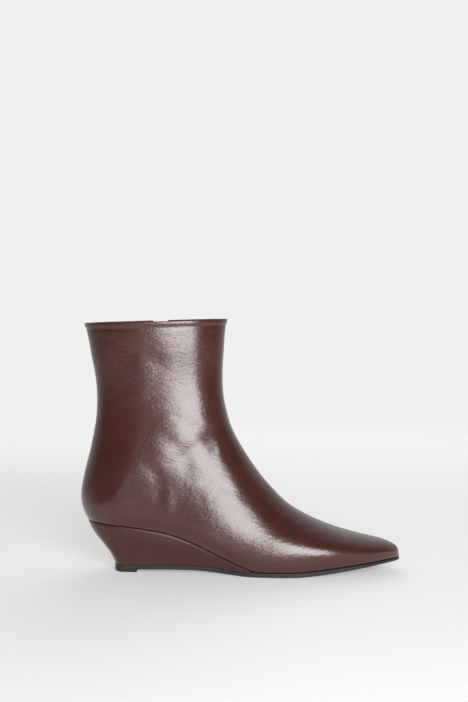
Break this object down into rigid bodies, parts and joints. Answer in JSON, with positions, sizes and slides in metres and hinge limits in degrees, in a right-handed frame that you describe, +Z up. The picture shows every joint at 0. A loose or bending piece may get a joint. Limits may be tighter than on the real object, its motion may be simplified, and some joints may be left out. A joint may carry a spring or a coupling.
{
  "type": "wedge ankle boot",
  "caption": "Right ankle boot with a leather covered wedge heel, almond toe, smooth shaft open at the collar and an inner side zip with a hinged pull tab.",
  "frame": {"origin": "on the floor under the middle of the boot's length and breadth", "axes": "+X from heel to toe, +Z up, +Y towards the inner side of the foot, so the outer side is at -Y"},
  "size_m": [0.272, 0.0808, 0.2134],
  "materials": {
    "upper_leather": "glossy dark chocolate calf leather with a fine grain",
    "wedge_leather": "the same calf leather stretched over the wedge",
    "outsole_rubber": "matt black rubber with a fine tread",
    "top_piece_rubber": "matt black hard rubber",
    "insole_lining": "matt brown lining leather",
    "zip_tape_fabric": "herringbone woven dark brown tape",
    "zip_chain_metal": "dulled brass teeth",
    "slider_metal": "dulled brass casting",
    "pull_metal": "polished dulled brass plate"
  },
  "bodies": {
    "boot": {"upper": "upper_leather", "wedge": "wedge_leather", "outsole": "outsole_rubber", "top_piece": "top_piece_rubber", "insole": "insole_lining", "zip_tape": "zip_tape_fabric", "zip_chain": "zip_chain_metal", "zip_slider": "slider_metal"},
    "pull_tab": {"zip_pull": "pull_metal"}
  },
  "joints": [
    {"name": "pull_hinge", "type": "hinge", "parent": "boot", "child": "pull_tab", "pos_m": [-0.0704, 0.0351, 0.1993], "axis": [1, 0, 0], "range_deg": [0, 170]}
  ]
}
